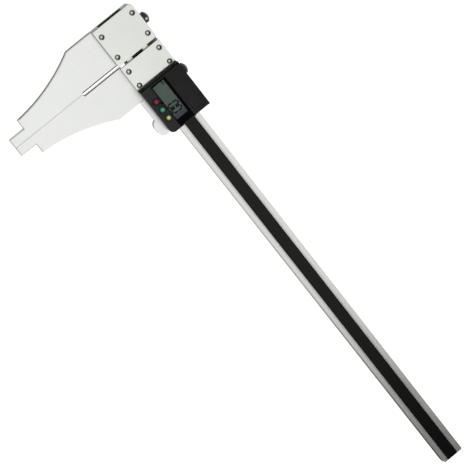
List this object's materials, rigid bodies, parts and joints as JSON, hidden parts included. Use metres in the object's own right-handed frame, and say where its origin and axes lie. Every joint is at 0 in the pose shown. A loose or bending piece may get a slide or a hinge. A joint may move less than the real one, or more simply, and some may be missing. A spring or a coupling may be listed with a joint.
{
  "type": "digital caliper",
  "caption": "Long digital caliper with wide stepped nib jaws, a slotted aluminium beam with a black scale strip, and a sliding display unit.",
  "frame": {"origin": "where the fixed jaw's measuring plane, the beam's axis and the resting plane meet, on the edge of the fixed jaw's back", "axes": "+X along the beam, away from the fixed jaw; the jaws point along -Y; +Z is the display side, and the caliper lies on its back at Z = 0"},
  "size_m": [0.6462, 0.199, 0.0293],
  "materials": {
    "beam_aluminium": "brushed extrusion",
    "scale_board": "black laminate",
    "scale_film": "satin black film",
    "black_plastic": "moulded",
    "jaw_metal": "satin ground plate",
    "plate_metal": "satin plate",
    "screw_steel": "turned",
    "gib_brass": "sawn strip",
    "knob_black": "black anodised, knurled",
    "thumb_metal": "satin",
    "housing_black": "fine spark texture",
    "bezel_gloss": "gloss",
    "lens_clear": "clear acrylic",
    "lcd_glass": "reflective liquid crystal cell",
    "zebra_rubber": "matt",
    "board_green": "solder mask",
    "battery_steel": "pressed can",
    "contact_plate": "plated spring strip",
    "cover_black": "fine texture",
    "pad_rubber": "moulded silicone",
    "button_red": "gloss",
    "button_green": "gloss",
    "button_yellow": "gloss"
  },
  "bodies": {
    "frame": {"beam": "beam_aluminium", "scale_strip": "scale_board", "scale_film": "scale_film", "channel_end_cap": "black_plastic", "fixed_jaw": "jaw_metal", "fixed_cover_plate": "plate_metal", "fixed_cover_screws": "screw_steel", "fixed_clamp_strip": "gib_brass"},
    "fixed_lock": {"fixed_lock_knob": "knob_black", "fixed_lock_stud": "screw_steel"},
    "slider": {"slider_jaw": "jaw_metal", "slider_cover_plate": "plate_metal", "slider_cover_screws": "screw_steel", "slider_gib": "gib_brass", "gib_screws": "screw_steel", "thumb_rest": "thumb_metal", "thumb_rest_screws": "screw_steel", "housing_back": "housing_black", "housing_front": "housing_black", "housing_screws": "screw_steel", "display_bezel": "bezel_gloss", "display_lens": "lens_clear", "lcd_panel": "lcd_glass", "zebra_strip": "zebra_rubber", "circuit_board": "board_green", "readout_chip": "black_plastic", "reader_plate": "board_green", "battery": "battery_steel", "battery_contact_positive": "contact_plate", "battery_contact_negative": "contact_plate", "data_port_socket": "black_plastic", "button_pad": "pad_rubber"},
    "slider_lock": {"slider_lock_knob": "knob_black", "slider_lock_stud": "screw_steel"},
    "battery_lid": {"battery_cover": "cover_black"},
    "data_port_lid": {"data_port_cover": "cover_black"},
    "red_key": {"red_button": "button_red"},
    "green_key": {"green_button": "button_green"},
    "yellow_key": {"yellow_button": "button_yellow"}
  },
  "joints": [
    {"name": "slider_slide", "type": "slide", "parent": "frame", "child": "slider", "axis": [1, 0, 0], "range_m": [0, 0.505]},
    {"name": "fixed_lock_turn", "type": "hinge", "parent": "frame", "child": "fixed_lock", "pos_m": [-0.0226, 0.0322, 0.0082], "axis": [0, 1, 0], "range_deg": [-360, 90]},
    {"name": "slider_lock_turn", "type": "hinge", "parent": "slider", "child": "slider_lock", "pos_m": [0.0467, 0.0322, 0.0082], "axis": [0, 1, 0], "range_deg": [-360, 90]},
    {"name": "red_press", "type": "slide", "parent": "slider", "child": "red_key", "axis": [0, 0, -1], "range_m": [0, 0.0008], "stiffness_N_per_m": 500, "springref_m": -0.0006},
    {"name": "green_press", "type": "slide", "parent": "slider", "child": "green_key", "axis": [0, 0, -1], "range_m": [0, 0.0008], "stiffness_N_per_m": 500, "springref_m": -0.0006},
    {"name": "yellow_press", "type": "slide", "parent": "slider", "child": "yellow_key", "axis": [0, 0, -1], "range_m": [0, 0.0008], "stiffness_N_per_m": 500, "springref_m": -0.0006},
    {"name": "battery_lid_slide", "type": "slide", "parent": "slider", "child": "battery_lid", "axis": [1, 0, 0], "range_m": [0, 0.02]},
    {"name": "data_port_pull", "type": "slide", "parent": "slider", "child": "data_port_lid", "axis": [0, 1, 0], "range_m": [0, 0.008]}
  ]
}
